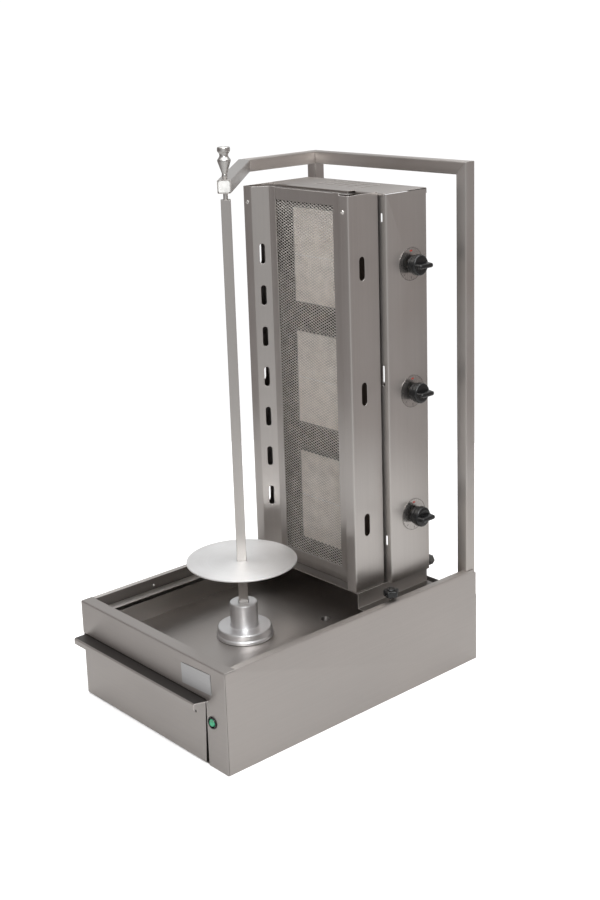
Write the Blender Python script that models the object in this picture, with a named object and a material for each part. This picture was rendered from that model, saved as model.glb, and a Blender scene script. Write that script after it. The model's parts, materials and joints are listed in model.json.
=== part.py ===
"""Countertop vertical gas broiler with three ceramic burners. Metres, +Z up, front is -Y.

The origin is the centre of the underside of the base. Lengths below are in millimetres
and mm() turns them into metres where a mesh is made.
"""

import math

import bmesh
import bpy
from mathutils import Matrix, Vector

# ---------------------------------------------------------------- sizes, mm
SHEET = 1.5
GAP = 0.3

BASE_HALF_W = 220.0
BASE_HALF_D = 325.0
BASE_H = 195.0
SIDE_FLANGE = 13.0
FRONT_FLANGE = 25.0
REAR_PANEL_H = 140.0

DRAWER_TOP = 126.75
DRAWER_RIGHT_TOP = 163.5
DRAWER_RIGHT_LOW = 157.2
HANDLE_OUT = 26.0
HANDLE_DROP = 12.0
FASCIA_STRIP_X = 165.5

TUBE = 25.0
TUBE_WALL = 1.5
TUBE_ROUND = 2.5
FRAME_TOP = 1005.0
FRAME_HALF = 217.9
FRAME_BACK = 323.2
ARM_CORNER_Y = 118.0
ARM_SAG = 4.0

SPIT_Y = -98.0
SKEWER_SIDE = 18.4
SKEWER_TURN = math.radians(51.0)
SKEWER_LOW = 158.6
SKEWER_TOP = 964.4
DISC_R = 106.0
DISC_Z = 273.0

PAN_FLOOR = 120.7
PAN_RIM = 160.0
LEDGE_TOP = 167.5
LEDGE_IN = 195.0

WING_HALF = 146.0
WING_FRONT = 63.0
WING_IN = 122.3
HOUSING_LOW = 200.2
HOUSING_TOP = 962.0
WINDOW_Y = 89.3
WINDOW_HALF = 80.5
WINDOW_TOP = 960.5
BAY_TOP = 955.0

CAB_HALF = 161.0
CAB_FRONT = 144.5
CAB_REAR = 251.0
CAB_TOP = 957.0

BURNER_Z = (828.0, 583.0, 336.0)
TAP_Z = (821.5, 575.5, 326.5)
TAP_Y = 208.0

GEAR_MODULE = 1.5
GEAR_TEETH = 36
PINION_TEETH = 12
PINION_Y = SPIT_Y + GEAR_MODULE * (GEAR_TEETH + PINION_TEETH) / 2


def mm(value):
    return value / 1000.0


# ---------------------------------------------------------------- scene and materials
def clear_scene():
    for obj in list(bpy.data.objects):
        bpy.data.objects.remove(obj, do_unlink=True)


COLOURS = {
    "stainless": ((0.46, 0.44, 0.42), 1.0, 0.32),
    "aluminium": ((0.80, 0.80, 0.81), 1.0, 0.28),
    "bright_steel": ((0.62, 0.62, 0.61), 1.0, 0.18),
    "white_plastic": ((0.86, 0.86, 0.83), 0.0, 0.45),
    "black_plastic": ((0.015, 0.015, 0.017), 0.0, 0.35),
    "green_plastic": ((0.02, 0.42, 0.17), 0.0, 0.25),
    "ceramic": ((0.74, 0.68, 0.58), 0.0, 0.9),
    "brass": ((0.55, 0.40, 0.16), 1.0, 0.35),
    "dark_steel": ((0.10, 0.10, 0.10), 1.0, 0.5),
    "plate": ((0.74, 0.75, 0.76), 0.2, 0.35),
}


def material_for(name, kind):
    colour, metallic, rough = COLOURS[kind]
    made = bpy.data.materials.new(name + "_" + kind)
    made.use_nodes = True
    shader = made.node_tree.nodes["Principled BSDF"]
    shader.inputs["Base Color"].default_value = (*colour, 1.0)
    shader.inputs["Metallic"].default_value = metallic
    shader.inputs["Roughness"].default_value = rough
    return made


# ---------------------------------------------------------------- shapes added to one mesh
def add_box(bm, x0, x1, y0, y1, z0, z1):
    corners = [
        bm.verts.new((x, y, z))
        for z in (z0, z1)
        for (x, y) in ((x0, y0), (x1, y0), (x1, y1), (x0, y1))
    ]
    low, high = corners[:4], corners[4:]
    bm.faces.new(low[::-1])
    bm.faces.new(high)
    for i in range(4):
        j = (i + 1) % 4
        bm.faces.new((low[i], low[j], high[j], high[i]))


def place(axis, u, v, w):
    """A point from two profile coordinates and the length along the axis."""
    if axis == "X":
        return (w, u, v)
    if axis == "Y":
        return (u, w, v)
    return (u, v, w)


def add_skin(bm, first, last):
    """Closes the solid between two rings of corners."""
    bm.faces.new(first[::-1])
    bm.faces.new(last)
    count = len(first)
    for i in range(count):
        j = (i + 1) % count
        bm.faces.new((first[i], first[j], last[j], last[i]))


def add_prism(bm, axis, outline, a, b):
    first = [bm.verts.new(place(axis, u, v, a)) for u, v in outline]
    last = [bm.verts.new(place(axis, u, v, b)) for u, v in outline]
    add_skin(bm, first, last)


def circle(u, v, radius, count=24, start=0.0):
    step = 2 * math.pi / count
    return [
        (u + radius * math.cos(start + step * i), v + radius * math.sin(start + step * i))
        for i in range(count)
    ]


def add_cylinder(bm, axis, u, v, radius, a, b, count=24):
    add_prism(bm, axis, circle(u, v, radius, count), a, b)


def slot_outline(u, v, width, length, count=5):
    """An upright slot with round ends: width along u, length along v."""
    r = width / 2
    half = length / 2 - r
    top = [
        (u + r * math.cos(math.pi * i / count), v + half + r * math.sin(math.pi * i / count))
        for i in range(count + 1)
    ]
    low = [(2 * u - a, 2 * v - b) for a, b in top]
    return top + low


def round_rect(u0, u1, v0, v1, radius, count=3):
    out = []
    corners = ((u1, v1, 0), (u0, v1, 1), (u0, v0, 2), (u1, v0, 3))
    for u, v, quarter in corners:
        cu = u - radius if u == u1 else u + radius
        cv = v - radius if v == v1 else v + radius
        for i in range(count + 1):
            angle = math.pi / 2 * (quarter + i / count)
            out.append((cu + radius * math.cos(angle), cv + radius * math.sin(angle)))
    return out


def add_lathe(bm, axis, u, v, profile, count=36):
    """Turns (radius, length) points round the axis. Both ends of the profile lie on the axis."""
    rings = []
    for radius, w in profile:
        if radius == 0:
            rings.append([bm.verts.new(place(axis, u, v, w))])
        else:
            rings.append(
                [bm.verts.new(place(axis, a, b, w)) for a, b in circle(u, v, radius, count)]
            )
    for one, two in zip(rings, rings[1:]):
        for i in range(count):
            j = (i + 1) % count
            if len(one) == 1:
                bm.faces.new((one[0], two[i], two[j]))
            elif len(two) == 1:
                bm.faces.new((one[j], one[i], two[0]))
            else:
                bm.faces.new((one[j], one[i], two[i], two[j]))


def sheet_outline(path, thick=SHEET, bend=2.0, count=3):
    """The cut section of a folded sheet whose middle line is path."""
    line = [(Vector(path[0]), (Vector(path[1]) - Vector(path[0])).normalized())]
    for before, corner, after in zip(path, path[1:], path[2:]):
        corner = Vector(corner)
        d_in = (corner - Vector(before)).normalized()
        d_out = (Vector(after) - corner).normalized()
        turn = d_in.angle_signed(d_out)
        reach = bend * math.tan(abs(turn) / 2)
        start = corner - d_in * reach
        side = Vector((-d_in.y, d_in.x)) * (-1 if turn > 0 else 1)
        centre = start + side * bend
        for i in range(count + 1):
            spin = Matrix.Rotation(-turn * i / count, 2)
            point = centre + spin @ (start - centre)
            line.append((point, (spin @ d_in).normalized()))
    line.append((Vector(path[-1]), (Vector(path[-1]) - Vector(path[-2])).normalized()))
    half = thick / 2
    left = [(p.x - d.y * half, p.y + d.x * half) for p, d in line]
    right = [(p.x + d.y * half, p.y - d.x * half) for p, d in line]
    return left + right[::-1]


def add_pipe(bm, path, radius, count=20):
    """A round bar along straight legs, mitred where they meet."""
    points = [Vector(p) for p in path]
    ways = [(b - a).normalized() for a, b in zip(points, points[1:])]
    side = ways[0].orthogonal().normalized()
    other = ways[0].cross(side).normalized()
    ring = [
        side * radius * math.cos(2 * math.pi * i / count)
        + other * radius * math.sin(2 * math.pi * i / count)
        for i in range(count)
    ]
    rings = [[points[0] + r for r in ring]]
    for k in range(1, len(points)):
        way = ways[k - 1]
        normal = way if k == len(points) - 1 else (way + ways[k]).normalized()
        new = []
        for point in rings[-1]:
            run = (points[k] - point).dot(normal) / way.dot(normal)
            new.append(point + way * run)
        rings.append(new)
    made = [[bm.verts.new(p) for p in r] for r in rings]
    bm.faces.new(made[0][::-1])
    bm.faces.new(made[-1])
    for one, two in zip(made, made[1:]):
        for i in range(count):
            j = (i + 1) % count
            bm.faces.new((one[i], one[j], two[j], two[i]))


# ---------------------------------------------------------------- objects
def finish_mesh(bm, name, smooth):
    bmesh.ops.recalc_face_normals(bm, faces=bm.faces)
    bmesh.ops.scale(bm, vec=(0.001, 0.001, 0.001), verts=bm.verts)
    mesh = bpy.data.meshes.new(name)
    bm.to_mesh(mesh)
    bm.free()
    if smooth:
        mesh.shade_smooth()
        mesh.set_sharp_from_angle(angle=math.radians(32))
    return mesh


def build(name, kind, *shapes, smooth=False):
    """One node from shapes, each a function that adds itself to a mesh."""
    bm = bmesh.new()
    shapes[0](bm)
    obj = bpy.data.objects.new(name, finish_mesh(bm, name, smooth))
    bpy.context.scene.collection.objects.link(obj)
    obj.data.materials.append(material_for(name, kind))
    for number, shape in enumerate(shapes[1:]):
        combine(obj, helper(f"{name}_join_{number}", shape), "UNION")
    return obj


def helper(name, *shapes):
    bm = bmesh.new()
    for shape in shapes:
        shape(bm)
    obj = bpy.data.objects.new(name, finish_mesh(bm, name, False))
    bpy.context.scene.collection.objects.link(obj)
    obj.hide_render = True
    obj.display_type = "WIRE"
    return obj


def combine(obj, other, operation):
    step = obj.modifiers.new(operation.lower(), "BOOLEAN")
    step.operation = operation
    step.solver = "EXACT"
    step.object = other


def cut(obj, *shapes):
    """Removes shapes that don't touch one another, in one step."""
    name = f"{obj.name}_cut_{len(obj.modifiers)}"
    combine(obj, helper(name, *shapes), "DIFFERENCE")


def box(*limits):
    return lambda bm: add_box(bm, *limits)


def prism(axis, outline, a, b):
    return lambda bm: add_prism(bm, axis, outline, a, b)


def cylinder(axis, u, v, radius, a, b, count=24):
    return lambda bm: add_cylinder(bm, axis, u, v, radius, a, b, count)


def lathe(axis, u, v, profile, count=36):
    return lambda bm: add_lathe(bm, axis, u, v, profile, count)


def pipe(path, radius, count=20):
    return lambda bm: add_pipe(bm, path, radius, count)


def set_origin(obj, x, y, z):
    """Moves the object's origin to a joint's axis and leaves its shape where it is."""
    shift = Vector((mm(x), mm(y), mm(z)))
    obj.data.transform(Matrix.Translation(-shift))
    obj.location = shift


# ---------------------------------------------------------------- base
def base_shell():
    build("base_floor", "stainless", box(-218.2, 218.2, -323.2, 323.2, 0, SHEET))
    for name, side in (("base_side_left", -1), ("base_side_right", 1)):
        x_mid = side * (BASE_HALF_W - SHEET / 2)
        fold = sheet_outline(
            [
                (x_mid, 0),
                (x_mid, BASE_H - SHEET / 2),
                (side * (BASE_HALF_W - SIDE_FLANGE), BASE_H - SHEET / 2),
            ]
        )
        inner = side * (BASE_HALF_W - SHEET)
        outer = side * BASE_HALF_W
        low, high = min(inner, outer), max(inner, outer)
        panel = build(
            name,
            "stainless",
            prism("Y", fold, -BASE_HALF_D + FRONT_FLANGE + GAP, 297.6),
            box(low, high, -322.8, -299, 0, 192.8),
            box(low, high, 297, BASE_HALF_D - 1.8, 0, BASE_H),
        )
        cut(panel, box(low - 1, high + 1, 316, 330, 187, 200))
    rear = build(
        "base_rear_panel",
        "stainless",
        box(-220, 220, 323.5, BASE_HALF_D, 0, REAR_PANEL_H),
    )
    cut(rear, cylinder("Y", -150, 60, 9.3, 320, 330, 24))
    build(
        "cable_gland",
        "black_plastic",
        lathe(
            "Y",
            -150,
            60,
            ((0, 314), (8.6, 314), (9, 315), (9, 325.3), (12.5, 325.3), (13, 326),
             (13, 331), (11, 334), (8.5, 340), (7.5, 341), (0, 341)),
            24,
        ),
        smooth=True,
    )


def front_fascia():
    fold = sheet_outline(
        [
            (-BASE_HALF_D + SHEET / 2, 128),
            (-BASE_HALF_D + SHEET / 2, BASE_H - SHEET / 2),
            (-BASE_HALF_D + FRONT_FLANGE, BASE_H - SHEET / 2),
        ]
    )
    fascia = build(
        "front_fascia",
        "stainless",
        prism("X", fold, -BASE_HALF_W, BASE_HALF_W),
        box(FASCIA_STRIP_X, BASE_HALF_W, -BASE_HALF_D, -BASE_HALF_D + SHEET, 0, 129),
    )
    cut(fascia, cylinder("Y", 181, 88.6, 10.3, -330, -320, 32))
    tilt = math.radians(2.4)
    plate = [
        (
            140.4 + u * math.cos(tilt) - v * math.sin(tilt),
            158.6 + u * math.sin(tilt) + v * math.cos(tilt),
        )
        for u, v in round_rect(-41.5, 41.5, -19.5, 19.5, 2.5)
    ]
    build("badge_plate", "plate", prism("Y", plate, -326.1, -325.3))
    bezel = build(
        "switch_bezel",
        "black_plastic",
        lathe(
            "Y",
            181,
            88.6,
            ((0, -306), (9.2, -306), (9.9, -307), (9.9, -325.3), (11.2, -325.3),
             (11.5, -325.8), (11.3, -326.9), (10.6, -327.4), (0, -327.4)),
            32,
        ),
        smooth=True,
    )
    cut(bezel, cylinder("Y", 181, 88.6, 8.6, -330, -311, 32))
    # The rocker is part of a ball round its pivot, so it turns inside the round bezel.
    ball = [(0, -313.8)]
    for i in range(1, 12):
        angle = math.pi * i / 12
        ball.append((8.2 * math.sin(angle), -322 + 8.2 * math.cos(angle)))
    ball.append((0, -330.2))
    rocker = build("switch_rocker", "green_plastic", lathe("Y", 181, 88.6, ball, 24), smooth=True)
    # Two flat faces that meet in a shallow V.
    wedge = [(-335, 70), (-327.6, 70), (-329.0, 80), (-327.2, 88.6), (-326.2, 98), (-325.8, 107),
             (-335, 107)]
    cut(rocker, prism("X", wedge, 165, 197))
    set_origin(rocker, 181, -322, 88.6)


def ledges():
    for name, side in (("slide_ledge_left", -1), ("slide_ledge_right", 1)):
        fold = sheet_outline(
            [
                (side * LEDGE_IN, LEDGE_TOP - SHEET / 2),
                (side * 217.4, LEDGE_TOP - SHEET / 2),
                (side * 217.4, 140),
            ]
        )
        ledge = build(name, "stainless", prism("Y", fold, -298, 297))
        if side > 0:
            slot = [(203 + a, b) for a, b in slot_outline(0, 95, 7.4, 130)]
            cut(ledge, prism("Z", slot, 160, 175))


def drip_pan():
    pan = build("drip_pan", "stainless", box(-194, 194, -318, 205, PAN_FLOOR - 1.2, PAN_RIM))
    cut(pan, box(-192.8, 192.8, -316.8, 203.8, PAN_FLOOR, 200))
    combine(
        pan,
        helper("drip_pan_collar", cylinder("Z", 0, SPIT_Y, 19.4, PAN_FLOOR - 1.2, 130, 40)),
        "UNION",
    )
    spout = helper("drip_pan_spout", cylinder("Z", 60, 60, 11.5, 100, PAN_FLOOR - 0.4, 24))
    combine(pan, spout, "UNION")
    cut(
        pan,
        cylinder("Z", 0, SPIT_Y, 18, 90, 150, 40),
        cylinder("Z", 60, 60, 10.2, 90, 150, 24),
    )


# ---------------------------------------------------------------- drive under the pan
def gear_outline(x, y, teeth, start):
    pitch = GEAR_MODULE * teeth / 2
    tip = pitch + GEAR_MODULE
    root = pitch - 1.25 * GEAR_MODULE
    step = 2 * math.pi / teeth
    out = []
    for k in range(teeth):
        middle = start + step * k
        for radius, share in ((root, -0.35), (tip, -0.10), (tip, 0.10), (root, 0.35)):
            angle = middle + step * share
            out.append((x + radius * math.cos(angle), y + radius * math.sin(angle)))
    return out


def drive():
    case = build("gearbox_case", "dark_steel", box(-33, 33, -132, -47, 90.5, 116))
    cut(case, box(-31.5, 31.5, -130.5, -48.5, 80, 114.2))
    cut(case, cylinder("Z", 0, SPIT_Y, 7.6, 110, 120, 32))
    motor = build(
        "motor_body",
        "dark_steel",
        box(-33, 33, -132, -47, 87, 90.2),
        cylinder("Z", 0, PINION_Y, 24, 57, 88, 40),
    )
    cut(motor, cylinder("Z", 0, PINION_Y, 4.6, 78, 95, 24))
    half_pitch = math.pi / GEAR_TEETH
    shaft = build(
        "drive_shaft",
        "bright_steel",
        prism("Z", gear_outline(0, SPIT_Y, GEAR_TEETH, math.pi / 2 + half_pitch), 97, 105),
        cylinder("Z", 0, SPIT_Y, 7, 91, 150, 32),
    )
    set_origin(shaft, 0, SPIT_Y, 101)
    pinion = build(
        "motor_pinion",
        "brass",
        prism("Z", gear_outline(0, PINION_Y, PINION_TEETH, -math.pi / 2), 96, 106),
        cylinder("Z", 0, PINION_Y, 4, 79, 97, 24),
    )
    set_origin(pinion, 0, PINION_Y, 101)


# ---------------------------------------------------------------- spit
def square(x, y, side, turn):
    half = side / 2
    out = []
    for a, b in ((-half, -half), (half, -half), (half, half), (-half, half)):
        out.append(
            (x + a * math.cos(turn) - b * math.sin(turn), y + a * math.sin(turn) + b * math.cos(turn))
        )
    return out


def spit():
    hub = build(
        "drive_hub",
        "aluminium",
        lathe(
            "Z",
            0,
            SPIT_Y,
            ((0, 151), (7.3, 151), (7.3, 133), (45, 133), (45, 121.3), (54.4, 121.3),
             (55.2, 122.1), (55.0, 126.5), (52.9, 129.0), (52.6, 139.0), (51.6, 140.8), (50.2, 141.4),
             (27.4, 141.4), (27.0, 141.9), (27.0, 188.6), (25.6, 190.0), (0, 190.0)),
            48,
        ),
        smooth=True,
    )
    cut(hub, prism("Z", square(0, SPIT_Y, SKEWER_SIDE + 1.6, SKEWER_TURN), 158, 200))
    set_origin(hub, 0, SPIT_Y, 121.3)
    skewer = build(
        "skewer",
        "bright_steel",
        prism("Z", square(0, SPIT_Y, SKEWER_SIDE, SKEWER_TURN), SKEWER_LOW, SKEWER_TOP),
        cylinder("Z", 0, SPIT_Y, 14.5, DISC_Z - 11, DISC_Z - 0.4, 32),
    )
    cut(skewer, cylinder("Z", 0, SPIT_Y, 4.8, SKEWER_TOP - 28, SKEWER_TOP + 5, 24))
    set_origin(skewer, 0, SPIT_Y, SKEWER_LOW)
    disc = build(
        "meat_disc",
        "aluminium",
        lathe(
            "Z",
            0,
            SPIT_Y,
            ((0, DISC_Z), (DISC_R - 0.6, DISC_Z), (DISC_R, DISC_Z + 0.6), (DISC_R, DISC_Z + 2.4),
             (DISC_R - 0.6, DISC_Z + 3), (0, DISC_Z + 3)),
            64,
        ),
        smooth=True,
    )
    cut(disc, prism("Z", square(0, SPIT_Y, SKEWER_SIDE + 0.8, SKEWER_TURN), DISC_Z - 5, DISC_Z + 8))
    set_origin(disc, 0, SPIT_Y, DISC_Z)
    pin = build(
        "top_pin",
        "bright_steel",
        lathe(
            "Z",
            0,
            SPIT_Y,
            ((0, 937), (3.0, 937), (4.3, 939.5), (4.3, 1003), (5.0, 1004), (5.2, 1008.5), (4.8, 1010),
             (5.3, 1012), (12.3, 1032.4), (12.4, 1034.6), (11.6, 1035.6), (8.2, 1040), (7.8, 1042.5),
             (8.2, 1045), (10.6, 1048.6), (11.6, 1049.6), (11.8, 1051), (11.8, 1056.4),
             (11.0, 1057.4), (0, 1057.4)),
            28,
        ),
        smooth=True,
    )
    set_origin(pin, 0, SPIT_Y, 937)


# ---------------------------------------------------------------- tube frame
def tube(name, start, end, start_normal=None, end_normal=None, cap_end=False):
    """A square tube. start and end are the middle points of its ends; a normal mitres an end."""
    p0, p1 = Vector(start), Vector(end)
    way = (p1 - p0).normalized()
    up = Vector((0, 0, 1)) if abs(way.z) < 0.5 else Vector((0, 1, 0))
    side = up.cross(way).normalized()
    half = TUBE / 2
    inner_half = half - TUBE_WALL
    outer = round_rect(-half, half, -half, half, TUBE_ROUND)
    inner = round_rect(-inner_half, inner_half, -inner_half, inner_half, TUBE_ROUND - TUBE_WALL)
    first = Vector(start_normal).normalized() if start_normal else way
    last = Vector(end_normal).normalized() if end_normal else way

    def ring(bm, outline, point, normal):
        made = []
        for u, v in outline:
            off = side * u + up * v
            run = -off.dot(normal) / way.dot(normal)
            made.append(bm.verts.new(point + off + way * run))
        return made

    def add(bm):
        out0 = ring(bm, outer, p0, first)
        out1 = ring(bm, outer, p1, last)
        in0 = ring(bm, inner, p0, first)
        inner_end = p1 - way * TUBE_WALL if cap_end else p1
        in1 = ring(bm, inner, inner_end, last)
        count = len(outer)
        for i in range(count):
            j = (i + 1) % count
            bm.faces.new((out0[i], out0[j], out1[j], out1[i]))
            bm.faces.new((in0[j], in0[i], in1[i], in1[j]))
            bm.faces.new((out0[j], out0[i], in0[i], in0[j]))
            if not cap_end:
                bm.faces.new((out1[i], out1[j], in1[j], in1[i]))
        if cap_end:
            bm.faces.new(out1)
            bm.faces.new(in1[::-1])

    return build(name, "stainless", add)


def frame():
    x_mid = FRAME_HALF - TUBE / 2
    y_mid = FRAME_BACK - TUBE / 2
    z_mid = FRAME_TOP - TUBE / 2
    mitre = 0.15
    tube("upright_left", (-x_mid, y_mid, 1.8), (-x_mid, y_mid, FRAME_TOP), cap_end=True)
    tube(
        "upright_right",
        (x_mid, y_mid, 1.8),
        (x_mid - mitre, y_mid, z_mid - mitre * 2),
        end_normal=(-1, 0, 1),
    )
    tube(
        "rear_rail",
        (-x_mid + TUBE / 2 + GAP, y_mid, z_mid),
        (x_mid - mitre * 2, y_mid, z_mid),
        end_normal=(1, 0, -1),
    )
    corner = Vector((-x_mid, ARM_CORNER_Y, z_mid))
    spit_top = Vector((0, SPIT_Y, z_mid - ARM_SAG))
    arm_way = (spit_top - corner).normalized()
    bisector = (arm_way.x, arm_way.y - 1, 0)
    tube(
        "left_rail",
        (-x_mid, FRAME_BACK - TUBE - GAP, z_mid),
        corner + Vector((0, 0.2, 0)),
        end_normal=bisector,
    )
    arm = tube(
        "diagonal_arm",
        corner + arm_way * 0.2,
        spit_top + arm_way * 14.5,
        start_normal=bisector,
    )
    cut(arm, cylinder("Z", 0, SPIT_Y, 5.0, 970, 1015, 24))

    def add_block(bm):
        outline = round_rect(-10.6, 10.6, -10.6, 10.6, 3.2)
        side = Vector((0, 0, 1)).cross(arm_way).normalized()
        ends = []
        for run in (-17.0, 14.3):
            middle = spit_top + arm_way * run
            ends.append([bm.verts.new(middle + side * u + Vector((0, 0, v))) for u, v in outline])
        add_skin(bm, *ends)

    block = build("arm_bearing_block", "white_plastic", add_block)
    cut(block, cylinder("Z", 0, SPIT_Y, 4.8, 970, 1015, 24))


# ---------------------------------------------------------------- drawer
def drawer():
    outline = [
        (-218.1, 2.2),
        (DRAWER_RIGHT_LOW, 2.2),
        (DRAWER_RIGHT_TOP, DRAWER_TOP),
        (-218.1, DRAWER_TOP),
    ]
    lip_z = DRAWER_TOP - SHEET / 2
    lip = sheet_outline(
        [
            (-323.8, lip_z),
            (-BASE_HALF_D - HANDLE_OUT + SHEET / 2, lip_z),
            (-BASE_HALF_D - HANDLE_OUT + SHEET / 2, DRAWER_TOP - HANDLE_DROP),
        ]
    )
    front = build(
        "drawer_front",
        "stainless",
        prism("Y", outline, -BASE_HALF_D, -BASE_HALF_D + SHEET),
        prism("X", lip, -213, 171.6),
    )
    clipped = [(163.8, -320), (163.8, -325.4), (171.6, -325.4), (161.3, -352.5), (180, -352.5),
               (180, -320)]
    cut(front, prism("Z", clipped, 110, 140))
    cut(front, cylinder("Y", 133.8, 93.2, 2.5, -330, -320, 20))
    tray = build("drawer_tray", "stainless", box(-212, 156, -323.2, 150, 3.2, 50))
    cut(tray, box(-210.8, 154.8, -322, 148.8, 4.4, 60))


# ---------------------------------------------------------------- carriage and housing
def carriage():
    plinth = build(
        "carriage_base",
        "stainless",
        box(-150, 150, 63.5, 256, 168, 199.9),
        box(-216.2, -149, 63.5, 256, 168, 169.5),
        box(149, 216.2, 63.5, 256, 168, 169.5),
    )
    cut(plinth, box(-148.5, 148.5, 60, 150, 160, 198.4))
    cut(plinth, box(-148.5, 148.5, 151.5, 254.5, 160, 198.4))
    cut(plinth, cylinder("Z", 203, 100, 3.5, 160, 175, 24))
    cut(plinth, box(90, 140, 200, 240, 190, 210))
    lobes = []
    for i in range(45):
        angle = 2 * math.pi * i / 45
        radius = 13.6 + 1.7 * math.cos(5 * angle)
        lobes.append((203 + radius * math.cos(angle), 100 + radius * math.sin(angle)))
    star = build(
        "star_knob",
        "black_plastic",
        prism("Z", lobes, 201, 213),
        lathe("Z", 203, 100, ((0, 197), (6.5, 197), (8.5, 202), (8.5, 214.5), (7, 216), (0, 216)), 32),
        cylinder("Z", 203, 100, 3.0, 158, 199, 20),
    )
    set_origin(star, 203, 100, 207)


def cabinet():
    for name, side in (("cabinet_side_left", -1), ("cabinet_side_right", 1)):
        fold = sheet_outline(
            [
                (side * 138, CAB_FRONT + SHEET / 2),
                (side * (CAB_HALF - SHEET / 2), CAB_FRONT + SHEET / 2),
                (side * (CAB_HALF - SHEET / 2), CAB_REAR),
            ]
        )
        panel = build(name, "stainless", prism("Z", fold, HOUSING_LOW, CAB_TOP))
        slits = [
            prism("Y", slot_outline(side * 149.3, 914.6, 4.6, 17), 140, 150),
            prism("Y", slot_outline(side * 148.6, 615.5, 4.6, 40), 140, 150),
            prism("Y", slot_outline(side * 149.3, 286.2, 4.6, 20), 140, 150),
        ]
        cut(panel, *slits)
        if side > 0:
            cut(panel, *[cylinder("X", TAP_Y, z, 6.0, 150, 170, 24) for z in TAP_Z])
    lid_z = 959.0
    fold = sheet_outline(
        [
            (139.75, 955.6),
            (139.75, lid_z),
            (CAB_REAR + 1.2, lid_z),
            (CAB_REAR + 1.2, 949),
        ]
    )
    top = build("cabinet_top", "stainless", prism("X", fold, -CAB_HALF, CAB_HALF))
    vents = [
        prism("Z", slot_outline(x, 204, 7.6, 62), 950, 965) for x in (-58, -29, 0, 29, 58)
    ]
    cut(top, *vents)
    back = build("burner_backplate", "stainless", box(-136, 136, 144.5, 146, HOUSING_LOW, 948))
    cut(back, *[cylinder("Y", 0, z, 6.5, 140, 150, 24) for z in TAP_Z])


def angled_slot(x, y, turn, z, width, length):
    """A cutter for an upright slot in a wall that faces turn, measured from the X axis."""
    way = Vector((math.cos(turn), math.sin(turn)))
    side = Vector((-way.y, way.x))
    outline = slot_outline(0, z, width, length)

    def add(bm):
        ends = []
        for reach in (-3, 3):
            middle = Vector((x, y)) + way * reach
            ring = []
            for across, height in outline:
                point = middle + side * across
                ring.append(bm.verts.new((point.x, point.y, height)))
            ends.append(ring)
        add_skin(bm, *ends)

    return add


def wings():
    front = WING_FRONT + SHEET / 2
    band = WINDOW_Y - GAP - SHEET / 2
    splay = band - front
    outer = WING_HALF - SHEET / 2
    for name, side in (("wing_left", -1), ("wing_right", 1)):
        fold = sheet_outline(
            [
                (side * WINDOW_HALF, band),
                (side * (WING_IN - splay), band),
                (side * WING_IN, front),
                (side * outer, front),
                (side * outer, 138.5),
            ]
        )
        wing = build(name, "stainless", prism("Z", fold, HOUSING_LOW, HOUSING_TOP))
        x = side * (WING_IN - splay / 2)
        turn = math.radians(90 - side * 45)
        seven = (831, 748.5, 665.5, 583.5, 501, 418, 334.5)
        holes = [angled_slot(x, front + splay / 2, turn, z, 10.3, 40) for z in seven]
        holes += [
            prism("X", slot_outline(96, z, 14.0, 45), side * outer - 3, side * outer + 3)
            for z in (826.5, 589.5, 330.5)
        ]
        cut(wing, *holes)


def burner_bay():
    tray = build(
        "window_frame",
        "stainless",
        box(-121, 121, WINDOW_Y, 143.8, 200.5, BAY_TOP),
        box(-121, 121, WINDOW_Y, 104, BAY_TOP - 1, WINDOW_TOP),
    )
    cut(tray, box(-119.5, 119.5, WINDOW_Y + SHEET, 150, 202, BAY_TOP - SHEET))
    cut(tray, box(-119.5, 119.5, WINDOW_Y + SHEET, 112, BAY_TOP - 5, WINDOW_TOP - SHEET))
    cut(tray, box(-WINDOW_HALF, WINDOW_HALF, 80, 100, 228, 938))
    build("mesh_guard", "stainless", box(-119, 119, WINDOW_Y + 1.8, WINDOW_Y + 2.8, 203, 951))
    for number in (1, 2, 3):
        z = BURNER_Z[number - 1]
        zk = TAP_Z[number - 1]
        holder = build(
            f"burner_box_{number}", "dark_steel", box(-72, 72, 121.5, 143.4, z - 98, z + 98)
        )
        cut(holder, box(-68, 68, 110, 141.4, z - 94, z + 94))
        plaque = build(
            f"ceramic_plaque_{number}",
            "ceramic",
            box(-67.6, 67.6, 122.2, 134.5, z - 92.4, z + 92.4),
        )
        cut(plaque, box(-80, 80, 115, 123.4, z - 0.7, z + 0.7))
        build(
            f"feed_tube_{number}",
            "bright_steel",
            pipe([(105.6, TAP_Y, zk), (0, TAP_Y, zk), (0, 143.8, zk)], 5.0),
            smooth=True,
        )


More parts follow.
